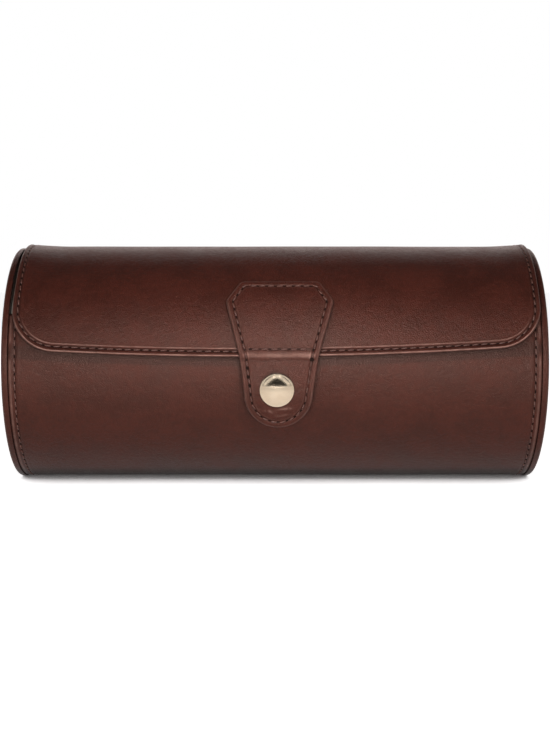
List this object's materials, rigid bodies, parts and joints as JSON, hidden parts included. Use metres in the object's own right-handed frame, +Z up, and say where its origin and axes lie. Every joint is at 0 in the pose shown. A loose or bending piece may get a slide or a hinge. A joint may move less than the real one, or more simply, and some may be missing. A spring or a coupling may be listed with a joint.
{
  "type": "watch travel case",
  "caption": "Cylindrical leather watch roll with a hinged flap, a snap tab, velvet lining, dividers and lift-out watch cushions.",
  "frame": {"origin": "middle of the underside, on the surface that the case rests on, below the roll's axis", "axes": "+X along the roll to the right seen from the snap side, -Y towards the snap, +Z up"},
  "size_m": [0.207, 0.0998, 0.0932],
  "materials": {
    "wrap_leather": "satin",
    "tab_backing": "satin",
    "greyboard": "matte",
    "lining_velvet": "matte",
    "cushion_velvet": "matte",
    "cushion_foam": "matte",
    "cap_metal": "polished",
    "snap_metal": "satin"
  },
  "bodies": {
    "case": {"outer_wrap": "wrap_leather", "shell_board": "greyboard", "shell_lining": "lining_velvet", "hinge_fold": "wrap_leather", "end_cover_left": "wrap_leather", "end_cover_right": "wrap_leather", "end_board_left": "greyboard", "end_board_right": "greyboard", "end_plug_left": "greyboard", "end_plug_right": "greyboard", "end_lining_left": "lining_velvet", "end_lining_right": "lining_velvet", "divider_board_left": "greyboard", "divider_board_right": "greyboard", "divider_cover_left": "lining_velvet", "divider_cover_right": "lining_velvet", "snap_stud": "snap_metal", "snap_rivet": "snap_metal"},
    "flap": {"flap_leather": "wrap_leather", "flap_board": "greyboard", "flap_lining": "lining_velvet", "tab_strap": "wrap_leather"},
    "tab": {"tab_end": "wrap_leather", "tab_backing": "tab_backing", "snap_cap": "cap_metal", "snap_socket": "snap_metal", "snap_spring": "snap_metal"},
    "cushion_left": {"cushion_cover_left": "cushion_velvet", "cushion_core_left": "cushion_foam"},
    "cushion_middle": {"cushion_cover_middle": "cushion_velvet", "cushion_core_middle": "cushion_foam"},
    "cushion_right": {"cushion_cover_right": "cushion_velvet", "cushion_core_right": "cushion_foam"}
  },
  "joints": [
    {"name": "flap_open", "type": "hinge", "parent": "case", "child": "flap", "pos_m": [0, 0.0265, 0.08384], "axis": [-1, 0, 0], "range_deg": [0, 165]},
    {"name": "tab_pull", "type": "hinge", "parent": "flap", "child": "tab", "pos_m": [0, -0.05085, 0.0515], "axis": [-1, 0, 0], "range_deg": [0, 70]},
    {"name": "cushion_lift_left", "type": "slide", "parent": "case", "child": "cushion_left", "axis": [0, -0.2334, 0.9724], "range_m": [0, 0.068]},
    {"name": "cushion_lift_middle", "type": "slide", "parent": "case", "child": "cushion_middle", "axis": [0, -0.2334, 0.9724], "range_m": [0, 0.068]},
    {"name": "cushion_lift_right", "type": "slide", "parent": "case", "child": "cushion_right", "axis": [0, -0.2334, 0.9724], "range_m": [0, 0.068]}
  ],
  "couplings": [
    {"joint": "cushion_lift_left", "follows": "flap_open", "m_per_rad": 0.0236},
    {"joint": "cushion_lift_middle", "follows": "flap_open", "m_per_rad": 0.0236},
    {"joint": "cushion_lift_right", "follows": "flap_open", "m_per_rad": 0.0236}
  ]
}
